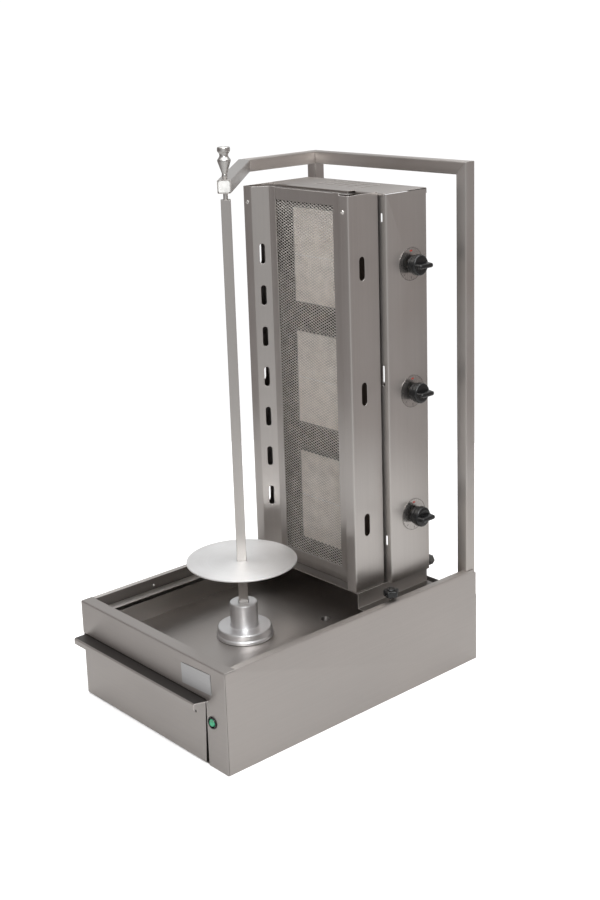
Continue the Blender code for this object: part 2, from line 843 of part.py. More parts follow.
def gas_train():
    build(
        "gas_manifold",
        "dark_steel",
        pipe(
            [(128, 230, 846), (128, 230, 216), (150, 246, 212), (150, 262, 212)],
            7.0,
            24,
        ),
        prism("Y", circle(150, 212, 10.5, 6), 254, 268),
    )
    for number in (1, 2, 3):
        z = TAP_Z[number - 1]
        tap = build(
            f"tap_body_{number}",
            "brass",
            cylinder("X", TAP_Y, z, 11.5, 114, 150, 32),
            cylinder("X", TAP_Y, z, 7.0, 106, 116, 24),
            cylinder("Y", 128, z, 6.0, 210, 222.6, 20),
        )
        cut(tap, cylinder("X", TAP_Y, z, 5.2, 139, 155, 24))
        plate = build(
            f"dial_plate_{number}", "plate", cylinder("X", TAP_Y, z, 32, 161.3, 162.2, 48)
        )
        cut(plate, cylinder("X", TAP_Y, z, 6.5, 155, 170, 24))
        collar = build(
            f"tap_collar_{number}", "bright_steel", cylinder("X", TAP_Y, z, 9.0, 166.2, 169.4, 28)
        )
        cut(collar, cylinder("X", TAP_Y, z, 4.9, 160, 175, 24))
        set_origin(collar, 166.2, TAP_Y, z)
        knob = build(
            f"knob_{number}",
            "black_plastic",
            lathe(
                "X",
                TAP_Y,
                z,
                ((0, 143.5), (4.5, 143.5), (4.5, 171.6), (12.5, 171.6), (12.5, 167.6), (16.6, 167.6),
                 (17.4, 168.6), (16.4, 173.5), (16.8, 175.0),
                 (19.4, 176.6), (20.0, 178.2), (19.6, 185.8), (18.6, 188.0), (16.4, 189.0),
                 (0, 189.0)),
                28,
            ),
            prism("X", round_rect(TAP_Y - 17.7, TAP_Y + 17.7, z - 4.3, z + 4.3, 3.7, 4), 182.5, 203),
            smooth=True,
        )
        set_origin(knob, 166.6, TAP_Y, z)


clear_scene()
base_shell()
front_fascia()
ledges()
drip_pan()
drive()
spit()
frame()
drawer()
carriage()
cabinet()
wings()
burner_bay()
gas_train()
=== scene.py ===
"""The looks of the countertop vertical gas broiler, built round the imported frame.

Everything is in metres in the frame's own axes: +Z up, the drawer faces -Y, the taps face +X.
"""

import json
import math

import bmesh
import bpy
from mathutils import Matrix, Vector

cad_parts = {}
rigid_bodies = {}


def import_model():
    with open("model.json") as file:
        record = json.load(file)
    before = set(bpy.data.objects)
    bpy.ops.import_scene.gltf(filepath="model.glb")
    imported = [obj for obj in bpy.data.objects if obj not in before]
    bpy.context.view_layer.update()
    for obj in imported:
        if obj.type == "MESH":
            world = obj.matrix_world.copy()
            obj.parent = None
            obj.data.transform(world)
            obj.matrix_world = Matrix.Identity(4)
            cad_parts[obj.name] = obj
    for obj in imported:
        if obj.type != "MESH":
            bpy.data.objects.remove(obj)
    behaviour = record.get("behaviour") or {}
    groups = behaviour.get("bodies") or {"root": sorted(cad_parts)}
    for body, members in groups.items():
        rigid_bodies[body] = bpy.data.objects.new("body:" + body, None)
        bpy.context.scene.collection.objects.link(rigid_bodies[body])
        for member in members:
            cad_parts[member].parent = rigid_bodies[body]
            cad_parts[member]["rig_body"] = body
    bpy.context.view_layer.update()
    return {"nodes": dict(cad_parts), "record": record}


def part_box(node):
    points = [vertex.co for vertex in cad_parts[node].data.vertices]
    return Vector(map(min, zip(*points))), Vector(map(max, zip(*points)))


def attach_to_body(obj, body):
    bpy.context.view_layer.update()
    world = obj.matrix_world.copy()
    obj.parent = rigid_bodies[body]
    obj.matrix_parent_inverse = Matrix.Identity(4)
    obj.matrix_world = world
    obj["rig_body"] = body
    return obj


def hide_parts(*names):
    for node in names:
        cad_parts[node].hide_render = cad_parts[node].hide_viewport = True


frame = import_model()

MM = 0.001
NODES = frame["nodes"]
SLOT_OF = {part["node"]: part["material_slot"] for part in frame["record"]["subparts"]}
TAPS = (1, 2, 3)

# ---------------------------------------------------------------- shared sizes and tones
SPIT_AXIS = (0.0, -0.098, 0.0)
SPIT_Y = SPIT_AXIS[1]
SKEWER_SIDE = 18.4 * MM
SKEWER_TURN = math.radians(51.0)
STEEL = (0.55, 0.525, 0.505)
WHITE = (1.0, 1.0, 1.0)
# past this depth in Y the window frame is darkened with painted shade, for the shade in its recess
WINDOW_DEPTH = 90.3 * MM

# ---------------------------------------------------------------- camera of the studio shot
CAMERA_PLACE = Vector((1.9291, -1.6477, 1.2779))
CAMERA_YAW = math.radians(-49.61)
CAMERA_PITCH = math.radians(-14.38)
CAMERA_ROLL = math.radians(-2.16)
CAMERA_LENS = 55.38
CAMERA_SHIFT = (0.0320, -0.0872)

# ---------------------------------------------------------------- studio
FLOOR_RADIUS = 1.6
FLOOR_TONE = (0.70, 0.695, 0.69)
# from the dim, open front-left side of the room to its right rear
ROOM_AXIS = Vector((0.74, 0.63, 0.0))


# ================================================================ node materials
class Paint:
    """A Principled material and short ways to wire textures into it."""

    def __init__(self, name, colour, metallic, rough):
        self.material = bpy.data.materials.new(name)
        self.material.use_nodes = True
        self.tree = self.material.node_tree
        self.shader = self.tree.nodes["Principled BSDF"]
        self.shader.inputs["Base Color"].default_value = (*colour, 1.0)
        self.shader.inputs["Metallic"].default_value = metallic
        self.shader.inputs["Roughness"].default_value = rough

    def node(self, kind, **settings):
        made = self.tree.nodes.new(kind)
        for key, value in settings.items():
            setattr(made, key, value)
        return made

    def link(self, source, target):
        self.tree.links.new(source, target)

    def place(self, scale=(1, 1, 1), turn=0.0):
        """Rest coordinates, turned about Z and then scaled."""
        coords = self.node("ShaderNodeTexCoord")
        mapping = self.node("ShaderNodeMapping", vector_type="TEXTURE")
        mapping.inputs["Rotation"].default_value = (0, 0, turn)
        self.link(coords.outputs["Object"], mapping.inputs["Vector"])
        stretch = self.node("ShaderNodeVectorMath", operation="MULTIPLY")
        stretch.inputs[1].default_value = scale
        self.link(mapping.outputs["Vector"], stretch.inputs[0])
        return stretch.outputs["Vector"]

    def noise(self, vector, scale=1.0, detail=3.0, rough=0.5):
        made = self.node("ShaderNodeTexNoise")
        made.inputs["Scale"].default_value = scale
        made.inputs["Detail"].default_value = detail
        made.inputs["Roughness"].default_value = rough
        self.link(vector, made.inputs["Vector"])
        return made.outputs["Fac"]

    def remap(self, value, low, high, from_low=0.3, from_high=0.7):
        """The defaults suit noise, which mostly lies between 0.3 and 0.7."""
        made = self.node("ShaderNodeMapRange")
        made.inputs["From Min"].default_value = from_low
        made.inputs["From Max"].default_value = from_high
        made.inputs["To Min"].default_value = low
        made.inputs["To Max"].default_value = high
        self.link(value, made.inputs["Value"])
        return made.outputs["Result"]

    def math(self, operation, first, second):
        made = self.node("ShaderNodeMath", operation=operation)
        for socket, value in zip(made.inputs, (first, second)):
            if isinstance(value, (int, float)):
                socket.default_value = value
            else:
                self.link(value, socket)
        return made.outputs["Value"]

    def mix(self, share, first, second, blend="MIX"):
        made = self.node("ShaderNodeMix", data_type="RGBA", blend_type=blend)
        for socket, value in ((made.inputs[0], share), (made.inputs[6], first), (made.inputs[7], second)):
            if isinstance(value, tuple):
                socket.default_value = (*value, 1.0)
            elif isinstance(value, (int, float)):
                socket.default_value = value
            else:
                self.link(value, socket)
        return made.outputs[2]

    def set_colour(self, socket):
        self.link(socket, self.shader.inputs["Base Color"])

    def set_rough(self, socket):
        self.link(socket, self.shader.inputs["Roughness"])

    def bump(self, height, strength, distance):
        made = self.node("ShaderNodeBump")
        made.inputs["Strength"].default_value = strength
        made.inputs["Distance"].default_value = distance
        self.link(height, made.inputs["Height"])
        self.link(made.outputs["Normal"], self.shader.inputs["Normal"])


def shaded(colour, factor):
    return tuple(min(1.0, part * factor) for part in colour)


def spread_across(paint, way, amount):
    """Stretches reflections across the brush lines, which run along way in the surface."""
    normal = paint.node("ShaderNodeNewGeometry").outputs["Normal"]
    cross = paint.node("ShaderNodeVectorMath", operation="CROSS_PRODUCT")
    paint.link(normal, cross.inputs[0])
    if isinstance(way, tuple):
        cross.inputs[1].default_value = way
    else:
        paint.link(way, cross.inputs[1])
    # a small nudge, so that the direction never vanishes where way runs along the normal
    nudge = paint.node("ShaderNodeVectorMath", operation="ADD")
    nudge.inputs[1].default_value = (0.007, 0.009, 0.011)
    paint.link(cross.outputs["Vector"], nudge.inputs[0])
    unit = paint.node("ShaderNodeVectorMath", operation="NORMALIZE")
    paint.link(nudge.outputs["Vector"], unit.inputs[0])
    paint.link(unit.outputs["Vector"], paint.shader.inputs["Tangent"])
    paint.shader.inputs["Anisotropic"].default_value = amount


def brushed(name, colour, rough, along, turn=0.0, grain=0.035, mottle=0.03, shade_depth=None, painted_shade=None):
    """Brushed sheet: hair lines along one axis, with soft patches in tone and gloss.

    A depth in Y may be given, past which the steel is darkened with painted shade, for the shade in a recess.
    An axis and an amount may be given, by which the faces that look along that axis are darkened with painted
    shade.
    """
    paint = Paint(name, colour, 1.0, rough)
    fine, long = 2600.0, 14.0
    stretch = {"X": (long, fine, fine), "Y": (fine, long, fine), "Z": (fine, fine, long)}[along]
    way = {"X": Vector((1, 0, 0)), "Y": Vector((0, 1, 0)), "Z": Vector((0, 0, 1))}[along]
    hair = paint.noise(paint.place(stretch, turn=turn), 1.0, 3.0, 0.6)
    wide = tuple(part / 9 for part in stretch)
    streak = paint.noise(paint.place(wide, turn=turn), 1.0, 2.0, 0.5)
    patch = paint.noise(paint.place((1, 1, 1)), 7.0, 3.0, 0.55)
    lines = paint.math("ADD", paint.math("MULTIPLY", hair, 0.6), paint.math("MULTIPLY", streak, 0.4))
    toned = paint.mix(
        paint.remap(lines, 0.0, 1.0, 0.35, 0.65),
        shaded(colour, 1 - grain),
        shaded(colour, 1 + grain),
    )
    warm = (1.0 - mottle, 1.0 - 1.3 * mottle, 1.0 - 1.5 * mottle)
    soft = paint.mix(paint.remap(patch, 0.0, 1.0), warm, WHITE)
    tone = paint.mix(1.0, toned, soft, "MULTIPLY")
    # painted shade: past the given depth in Y the tone turns dark brown, for the shade in the recess
    if shade_depth is not None:
        split = paint.node("ShaderNodeSeparateXYZ")
        paint.link(paint.place(), split.inputs["Vector"])
        recess_shade = paint.mix(paint.remap(patch, 0.0, 1.0), (0.10, 0.08, 0.065), (0.17, 0.14, 0.12))
        tone = paint.mix(paint.remap(split.outputs["Y"], 0.0, 1.0, shade_depth, shade_depth + 0.0006), tone, recess_shade)
    # painted shade: faces that look along the given axis are darkened, by the given amount at most
    if painted_shade:
        split = paint.node("ShaderNodeSeparateXYZ")
        paint.link(paint.node("ShaderNodeNewGeometry").outputs["Normal"], split.inputs["Vector"])
        level = paint.remap(split.outputs[painted_shade[0]], 0.0, painted_shade[1], 0.9, 0.99)
        tone = paint.mix(level, tone, shaded(colour, 0.12))
    paint.set_colour(tone)
    varied = paint.math("ADD", paint.remap(lines, -0.03, 0.03, 0.35, 0.65), paint.remap(patch, -0.03, 0.03))
    paint.set_rough(paint.math("ADD", varied, rough))
    paint.bump(hair, 0.06, 0.00005)
    spread_across(paint, tuple(Matrix.Rotation(turn, 3, "Z") @ way), 0.88)
    return paint.material


def turned(name, colour, rough, centre, rings=1500.0, spread=0.5):
    """Lathe-turned metal: fine rings round an upright axis through centre."""
    paint = Paint(name, colour, 1.0, rough)
    coords = paint.node("ShaderNodeTexCoord")
    move = paint.node("ShaderNodeVectorMath", operation="SUBTRACT")
    move.inputs[1].default_value = centre
    paint.link(coords.outputs["Object"], move.inputs[0])
    split = paint.node("ShaderNodeSeparateXYZ")
    paint.link(move.outputs["Vector"], split.inputs["Vector"])
    squares = [paint.math("MULTIPLY", split.outputs[key], split.outputs[key]) for key in "XY"]
    radius = paint.math("SQRT", paint.math("ADD", squares[0], squares[1]), 0.0)
    join = paint.node("ShaderNodeCombineXYZ")
    paint.link(radius, join.inputs["X"])
    paint.link(split.outputs["Z"], join.inputs["Y"])
    ring = paint.noise(join.outputs["Vector"], rings, 2.0, 0.7)
    patch = paint.noise(coords.outputs["Object"], 30.0, 3.0, 0.6)
    tone = paint.mix(paint.remap(ring, 0.0, 1.0), shaded(colour, 0.975), shaded(colour, 1.02))
    worn = paint.mix(paint.remap(patch, 0.0, 1.0), (0.965, 0.96, 0.955), WHITE)
    paint.set_colour(paint.mix(1.0, tone, worn, "MULTIPLY"))
    fine = paint.remap(ring, rough - 0.03, rough + 0.03)
    paint.set_rough(paint.math("ADD", fine, paint.remap(patch, -0.02, 0.03)))
    paint.bump(ring, 0.05, 0.00005)
    around = paint.node("ShaderNodeVectorMath", operation="CROSS_PRODUCT")
    around.inputs[0].default_value = (0, 0, 1)
    paint.link(move.outputs["Vector"], around.inputs[1])
    unit = paint.node("ShaderNodeVectorMath", operation="NORMALIZE")
    paint.link(around.outputs["Vector"], unit.inputs[0])
    spread_across(paint, unit.outputs["Vector"], spread)
    return paint.material


def moulded(name, colour, rough, grain=900.0, bump=0.18):
    """Moulded plastic with a fine spark-eroded grain."""
    paint = Paint(name, colour, 0.0, rough)
    place = paint.place()
    pore = paint.noise(place, grain, 2.0, 0.6)
    patch = paint.noise(place, 45.0, 3.0, 0.6)
    tone = paint.mix(paint.remap(patch, 0.0, 1.0), shaded(colour, 0.82), shaded(colour, 1.2))
    paint.set_colour(tone)
    fine = paint.remap(pore, rough - 0.04, rough + 0.05)
    paint.set_rough(paint.math("ADD", fine, paint.remap(patch, 0.0, 0.06)))
    paint.bump(pore, bump, 0.00008)
    return paint.material


def perforated_ceramic(name):
    """Radiant plaque: rows of small flame holes in pale, slightly scorched ceramic."""
    colour = (0.90, 0.84, 0.77)
    paint = Paint(name, colour, 0.0, 0.92)
    pitch = 3.1 * MM
    split = paint.node("ShaderNodeSeparateXYZ")
    paint.link(paint.place((1 / pitch, 1 / pitch, 1 / pitch)), split.inputs["Vector"])
    waves = []
    for key in ("X", "Z"):
        turns = paint.math("MULTIPLY", split.outputs[key], math.tau)
        waves.append(paint.math("COSINE", turns, 0.0))
    dots = paint.math("MULTIPLY", paint.math("ADD", waves[0], waves[1]), 0.5)
    hole = paint.remap(dots, 0.0, 1.0, 0.35, 0.75)
    scorch = paint.noise(paint.place(), 14.0, 4.0, 0.6)
    body = paint.mix(paint.remap(scorch, 0.0, 1.0), (0.91, 0.83, 0.75), (0.97, 0.92, 0.86))
    paint.set_colour(paint.mix(paint.math("MULTIPLY", hole, 0.35), body, (0.30, 0.22, 0.16)))
    grit = paint.noise(paint.place(), 1300.0, 3.0, 0.7)
    height = paint.math("SUBTRACT", paint.math("MULTIPLY", grit, 0.25), hole)
    paint.bump(height, 0.6, 0.0006)
    return paint.material


def lit_plastic(name):
    """Clear green rocker with a soft lighter heart."""
    colour = (0.015, 0.36, 0.16)
    paint = Paint(name, colour, 0.0, 0.16)
    patch = paint.noise(paint.place(), 120.0, 2.0, 0.5)
    paint.set_colour(paint.mix(paint.remap(patch, 0.0, 1.0), (0.008, 0.26, 0.11), (0.04, 0.50, 0.25)))
    paint.shader.inputs["Coat Weight"].default_value = 0.6
    paint.shader.inputs["Coat Roughness"].default_value = 0.06
    paint.shader.inputs["Subsurface Weight"].default_value = 0.25
    paint.shader.inputs["Subsurface Scale"].default_value = 0.002
    paint.set_rough(paint.remap(patch, 0.13, 0.22))
    return paint.material


def ink(name, colour):
    paint = Paint(name, colour, 0.0, 0.5)
    patch = paint.noise(paint.place(), 700.0, 3.0, 0.7)
    paint.set_colour(paint.mix(paint.remap(patch, 0.0, 1.0), shaded(colour, 0.8), shaded(colour, 1.25)))
    return paint.material


def make_materials():
    made = {
        "steel_x": brushed("brushed_steel_x", STEEL, 0.42, "X"),
        "steel_y": brushed("brushed_steel_y", STEEL, 0.42, "Y"),
        "steel_z": brushed("brushed_steel_z", STEEL, 0.38, "Z"),
        # the window frame gets painted shade past WINDOW_DEPTH
        "window": brushed("window_steel", STEEL, 0.38, "Z", shade_depth=WINDOW_DEPTH),
        # painted shade: a near-black sheet for the shade behind the guard and plaques
        "shade_sheet": brushed("backplate_shade_steel", (0.026, 0.021, 0.018), 0.5, "Z", mottle=0.15),
        # drawer, ledge, plinth, inner side and pan: painted shade on the faces that look along one axis
        "drawer": brushed("drawer_steel", STEEL, 0.40, "X", painted_shade=("Z", 0.85)),
        "ledge": brushed("sunk_ledge_steel", STEEL, 0.38, "Y", painted_shade=("Z", 0.6)),
        "plinth": brushed("plinth_steel", STEEL, 0.36, "X", painted_shade=("Z", 0.6)),
        "inner_x": brushed("inner_side_shade_steel", STEEL, 0.40, "Y", painted_shade=("X", 0.55)),
        "plate": brushed("polished_dial_steel", shaded(STEEL, 0.86), 0.27, "Z", grain=0.02),
        "pan": brushed("pan_steel", STEEL, 0.36, "X", mottle=0.07, painted_shade=("X", 0.5)),
        "tube_x": brushed("tube_steel_x", STEEL, 0.42, "X", mottle=0.08),
        "tube_y": brushed("tube_steel_y", STEEL, 0.42, "Y", mottle=0.08),
        "tube_z": brushed("tube_steel_z", STEEL, 0.42, "Z", mottle=0.08),
        "tube_arm": brushed("tube_steel_arm", STEEL, 0.42, "X", turn=-math.pi / 4),
        "skewer": brushed("drawn_skewer_steel", (0.56, 0.54, 0.52), 0.40, "Z"),
        "mesh": moulded("expanded_steel", (0.65, 0.62, 0.59), 0.34, 700.0, 0.1),
        "disc": turned("spun_aluminium", (0.85, 0.85, 0.85), 0.48, SPIT_AXIS, 900.0, 0.25),
        "hub": turned("turned_aluminium", (0.84, 0.84, 0.85), 0.42, SPIT_AXIS, 1400.0),
        "pin": turned("polished_pin_steel", (0.50, 0.49, 0.475), 0.30, SPIT_AXIS, 1600.0),
        "screw": moulded("bright_screw_steel", (0.68, 0.67, 0.65), 0.25),
        "bright": moulded("plain_bright_steel", (0.60, 0.59, 0.57), 0.28, 500.0, 0.08),
        "brass": moulded("machined_brass", (0.66, 0.48, 0.21), 0.30, 500.0, 0.08),
        "dark": moulded("dark_painted_steel", (0.055, 0.053, 0.05), 0.5),
        "white": moulded("white_nylon", (0.74, 0.74, 0.72), 0.45, 700.0, 0.10),
        "black": moulded("black_phenolic", (0.005, 0.0055, 0.006), 0.22, bump=0.06),
        "green": lit_plastic("green_rocker"),
        "ceramic": perforated_ceramic("radiant_ceramic"),
        "cement": moulded("joint_cement", (0.96, 0.94, 0.91), 0.9, 400.0),
        "badge": brushed("blank_badge", (0.66, 0.67, 0.68), 0.40, "X"),
        "ink": ink("dial_ink", (0.03, 0.03, 0.032)),
        "red": ink("dial_red", (0.42, 0.05, 0.035)),
    }
    for key in ("screw", "bright", "brass", "mesh"):
        made[key].node_tree.nodes["Principled BSDF"].inputs["Metallic"].default_value = 1.0
    return made


LOOK = make_materials()


# ================================================================ mesh helpers
def mesh_object(name, bm, look, smooth=True, sharp=35.0):
    bmesh.ops.recalc_face_normals(bm, faces=bm.faces)
    mesh = bpy.data.meshes.new(name)
    bm.to_mesh(mesh)
    bm.free()
    if smooth:
        mesh.shade_smooth()
        mesh.set_sharp_from_angle(angle=math.radians(sharp))
    mesh.materials.append(LOOK[look])
    obj = bpy.data.objects.new(name, mesh)
    bpy.context.scene.collection.objects.link(obj)
    return obj


def soften(obj, width, segments=2):
    """Rounds the sharp edges, as a deburred or moulded edge is."""
    step = obj.modifiers.new("soft_edges", "BEVEL")
    step.width = width
    step.segments = segments
    step.limit_method = "ANGLE"
    step.angle_limit = math.radians(35.0)
    step.harden_normals = True
    step.use_clamp_overlap = True
    return obj


def attach(obj, body, slot, *nodes):
    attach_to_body(obj, body)
    if nodes:
        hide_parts(*nodes)
    return obj


def stand_for(obj, node):
    """obj takes the place of one CAD node, on the node's body."""
    return attach(obj, NODES[node]["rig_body"], SLOT_OF[node], node)


def refined(node, look, width=0.35 * MM, segments=2):
    """The node's own shape with clean faces, rounded edges and smooth bends."""
    bm = bmesh.new()
    bm.from_mesh(NODES[node].data)
    bmesh.ops.remove_doubles(bm, verts=bm.verts, dist=2e-6)
    bmesh.ops.dissolve_limit(bm, angle_limit=math.radians(1.0), verts=bm.verts, edges=bm.edges)
    obj = mesh_object(node + "_finished", bm, look)
    custom = obj.data.attributes.get("custom_normal")
    if custom:
        obj.data.attributes.remove(custom)
    if width:
        soften(obj, width, segments)
    return stand_for(obj, node)


def place_on(axis, u, v, w):
    """A point from two cross coordinates and the length along the axis."""
    return {"X": (w, u, v), "Y": (u, w, v), "Z": (u, v, w)}[axis]


def join_rings(bm, one, two):
    """Faces between two closed rings with the same number of points."""
    for i in range(len(one)):
        j = (i + 1) % len(one)
        bm.faces.new((one[i], one[j], two[j], two[i]))


def add_turned(bm, axis, u, v, profile, count=72):
    """A lathe shape round the line through u, v; the profile is pairs of radius and length."""
    rings = []
    for radius, w in profile:
        if radius == 0:
            rings.append([bm.verts.new(place_on(axis, u, v, w))])
            continue
        ring = []
        for i in range(count):
            angle = math.tau * i / count
            ring.append(
                bm.verts.new(place_on(axis, u + radius * math.cos(angle), v + radius * math.sin(angle), w))
            )
        rings.append(ring)
    for one, two in zip(rings, rings[1:]):
        for i in range(count):
            j = (i + 1) % count
            if len(one) == 1:
                bm.faces.new((one[0], two[i], two[j]))
            elif len(two) == 1:
                bm.faces.new((one[j], one[i], two[0]))
            else:
                bm.faces.new((one[j], one[i], two[i], two[j]))


def rounded(profile, radius, count=4):
    """The profile with each inner corner replaced by a small arc."""
    points = [Vector(point) for point in profile]
    out = [tuple(points[0])]
    for before, corner, after in zip(points, points[1:], points[2:]):
        to_before, to_after = before - corner, after - corner
        reach = min(radius, to_before.length / 2.05, to_after.length / 2.05)
        start = corner + to_before.normalized() * reach
        end = corner + to_after.normalized() * reach
        for i in range(count + 1):
            t = i / count
            out.append(tuple(start * (1 - t) ** 2 + corner * 2 * t * (1 - t) + end * t ** 2))
    out.append(tuple(points[-1]))
    return out


def add_plate(bm, axis, outline, low, high):
    """The outline carried along the axis from low to high."""
    first = [bm.verts.new(place_on(axis, u, v, low)) for u, v in outline]
    last = [bm.verts.new(place_on(axis, u, v, high)) for u, v in outline]
    bm.faces.new(first[::-1])
    bm.faces.new(last)
    join_rings(bm, first, last)


def circle(u, v, radius, count):
    step = math.tau / count
    return [(u + radius * math.cos(step * i), v + radius * math.sin(step * i)) for i in range(count)]


def round_rect(u0, u1, v0, v1, radius, count=6):
    out = []
    for cu, cv, quarter in (
        (u1 - radius, v1 - radius, 0),
        (u0 + radius, v1 - radius, 1),
        (u0 + radius, v0 + radius, 2),
        (u1 - radius, v0 + radius, 3),
    ):
        for i in range(count + 1):
            angle = math.pi / 2 * (quarter + i / count)
            out.append((cu + radius * math.cos(angle), cv + radius * math.sin(angle)))
    return out


def box_of(node):
    low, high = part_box(node)
    return low, high, (low + high) / 2


# ================================================================ base, frame and drawer
def sheet_metal():
    looks = {
        "base_floor": "steel_y",
        "base_side_left": "inner_x",
        "base_side_right": "steel_y",
        "base_rear_panel": "steel_x",
        "front_fascia": "steel_x",
        "slide_ledge_left": "steel_y",
        "slide_ledge_right": "ledge",
        "drip_pan": "pan",
        "drawer_front": "drawer",
        "drawer_tray": "steel_x",
        "carriage_base": "plinth",
        "cabinet_side_left": "steel_z",
        "cabinet_side_right": "steel_z",
        "cabinet_top": "steel_x",
        # the backplate is near black, painted shade behind the guard
        "burner_backplate": "shade_sheet",
        "wing_left": "steel_z",
        "wing_right": "steel_z",
        "window_frame": "window",
        "upright_left": "tube_z",
        "upright_right": "tube_z",
        "rear_rail": "tube_x",
        "left_rail": "tube_y",
        "diagonal_arm": "tube_arm",
    }
    for node, look in looks.items():
        refined(node, look, 0.55 * MM)
    refined("arm_bearing_block", "white", 0.8 * MM, 3)
    refined("badge_plate", "badge", 0.2 * MM)


def inner_works():
    """What each burner has is named without its number here."""
    looks = {
        "motor_body": "dark",
        "gearbox_case": "dark",
        "motor_pinion": "brass",
        "drive_shaft": "bright",
        "burner_box": "dark",
        "ceramic_plaque": "ceramic",
        "feed_tube": "bright",
        "gas_manifold": "dark",
        "tap_body": "brass",
        "tap_collar": "bright",
        "cable_gland": "black",
    }
    for part, look in looks.items():
        nodes = [part] if part in NODES else [f"{part}_{number}" for number in TAPS]
        for node in nodes:
            refined(node, look, 0.25 * MM)


# ================================================================ spit
def square_outline(side, corner, turn):
    """A square with rounded corners, turned about the spit's axis."""
    half = side / 2
    spin = Matrix.Rotation(turn, 2)
    out = []
    for u, v in round_rect(-half, half, -half, half, corner, 4):
        point = spin @ Vector((u, v))
        out.append((point.x, SPIT_Y + point.y))
    return out


def square_hole_lathe(profile, hole, hole_low, count, turn):
    """A turned piece whose flat top is pierced by a square socket down to hole_low.

    Also gives the socket's lowest ring and the profile's first ring, which the caller closes.
    """
    bm = bmesh.new()
    top = profile[-1][1]
    corners = []
    for i in range(count):
        angle = math.tau * i / count
        local = angle - turn
        reach = hole / 2 / max(abs(math.cos(local)), abs(math.sin(local)))
        corners.append((reach * math.cos(angle), SPIT_Y + reach * math.sin(angle)))
    rings = []
    for radius, w in profile:
        rings.append([bm.verts.new((u, v, w)) for u, v in circle(0, SPIT_Y, radius, count)])
    for one, two in zip(rings, rings[1:]):
        join_rings(bm, one, two)
    mouth = [bm.verts.new((u, v, top)) for u, v in corners]
    floor = [bm.verts.new((u, v, hole_low)) for u, v in corners]
    join_rings(bm, rings[-1], mouth)
    join_rings(bm, mouth, floor)
    return bm, floor, rings[0]


def drive_hub():
    low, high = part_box("drive_hub")
    z0, z1 = low.z, high.z
    flange = high.x
    barrel = 27.0 * MM
    step_z = z0 + 20.1 * MM
    profile = rounded(
        [
            (flange - 0.8 * MM, z0),
            (flange, z0 + 0.8 * MM),
            (flange - 0.2 * MM, z0 + 5.2 * MM),
            (flange - 2.3 * MM, z0 + 7.7 * MM),
            (flange - 2.6 * MM, z0 + 17.7 * MM),
            (flange - 3.6 * MM, z0 + 19.5 * MM),
            (flange - 5.0 * MM, step_z),
            (barrel + 1.2 * MM, step_z),
            (barrel, step_z + 1.2 * MM),
            (barrel, z1 - 1.6 * MM),
            (barrel - 1.6 * MM, z1),
            (barrel - 3.0 * MM, z1),
        ],
        0.8 * MM,
    )
    socket, socket_floor = SKEWER_SIDE + 1.6 * MM, z0 + 37 * MM
    bm, floor, foot = square_hole_lathe(profile, socket, socket_floor, 96, SKEWER_TURN)
    bm.faces.new(floor)
    bm.faces.new(foot[::-1])
    stand_for(mesh_object("hub_turned", bm, "hub", sharp=30.0), "drive_hub")


def meat_disc():
    low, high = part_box("meat_disc")
    radius = high.x
    hub_radius = 14.0 * MM
    profile = rounded(
        [
            (hub_radius, low.z),
            (radius - 0.2 * MM, low.z),
            (radius, low.z + 0.6 * MM),
            (radius, high.z - 0.6 * MM),
            (radius - 0.2 * MM, high.z),
            (hub_radius + 0.4 * MM, high.z),
        ],
        0.5 * MM,
    )
    bm, floor, foot = square_hole_lathe(profile, SKEWER_SIDE + 0.8 * MM, low.z, 128, SKEWER_TURN)
    join_rings(bm, floor, foot)
    stand_for(mesh_object("disc_spun", bm, "disc", sharp=30.0), "meat_disc")


def skewer():
    """The square bar, and the round stop on it that the disc rests on."""
    low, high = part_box("skewer")
    bm = bmesh.new()
    outline = square_outline(SKEWER_SIDE, 1.2 * MM, SKEWER_TURN)
    add_plate(bm, "Z", outline, low.z, high.z - 0.6 * MM)
    bar = mesh_object("skewer_bar", bm, "skewer")
    soften(bar, 0.5 * MM)
    stand_for(bar, "skewer")
    bm = bmesh.new()
    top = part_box("meat_disc")[0].z - 0.4 * MM
    foot = top - 10.6 * MM
    radius, chamfer = 14.5 * MM, 0.9 * MM
    collar = [
        (0, foot),
        (radius - chamfer, foot),
        (radius, foot + chamfer),
        (radius, top - chamfer),
        (radius - chamfer, top),
        (0, top),
    ]
    add_turned(bm, "Z", 0, SPIT_Y, rounded(collar, 0.4 * MM), 72)
    attach(mesh_object("skewer_stop_collar", bm, "hub", sharp=30.0), "spit", "bright_steel")


def top_pin():
    """A shank, a slender cone up to the widest place, a waist and a round head."""
    low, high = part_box("top_pin")
    z = high.z
    shoulder = [
        (0, low.z),
        (3.0 * MM, low.z),
        (4.3 * MM, low.z + 2.5 * MM),
        (4.3 * MM, z - 54.6 * MM),
        (5.2 * MM, z - 53.0 * MM),
        (5.2 * MM, z - 49.0 * MM),
        (4.7 * MM, z - 47.6 * MM),
        (5.3 * MM, z - 45.6 * MM),
        (12.2 * MM, z - 25.2 * MM),
        (12.4 * MM, z - 23.0 * MM),
        (11.4 * MM, z - 21.4 * MM),
        (8.3 * MM, z - 17.2 * MM),
        (7.8 * MM, z - 14.8 * MM),
        (8.3 * MM, z - 12.0 * MM),
        (10.8 * MM, z - 8.6 * MM),
        (11.8 * MM, z - 7.2 * MM),
        (11.8 * MM, z - 1.4 * MM),
        (10.6 * MM, z),
        (3.0 * MM, z),
        (2.2 * MM, z - 0.7 * MM),
        (0, z - 0.9 * MM),
    ]
    bm = bmesh.new()
    add_turned(bm, "Z", 0, SPIT_Y, rounded(shoulder, 1.4 * MM, 5), 72)
    stand_for(mesh_object("pin_turned", bm, "pin", sharp=40.0), "top_pin")


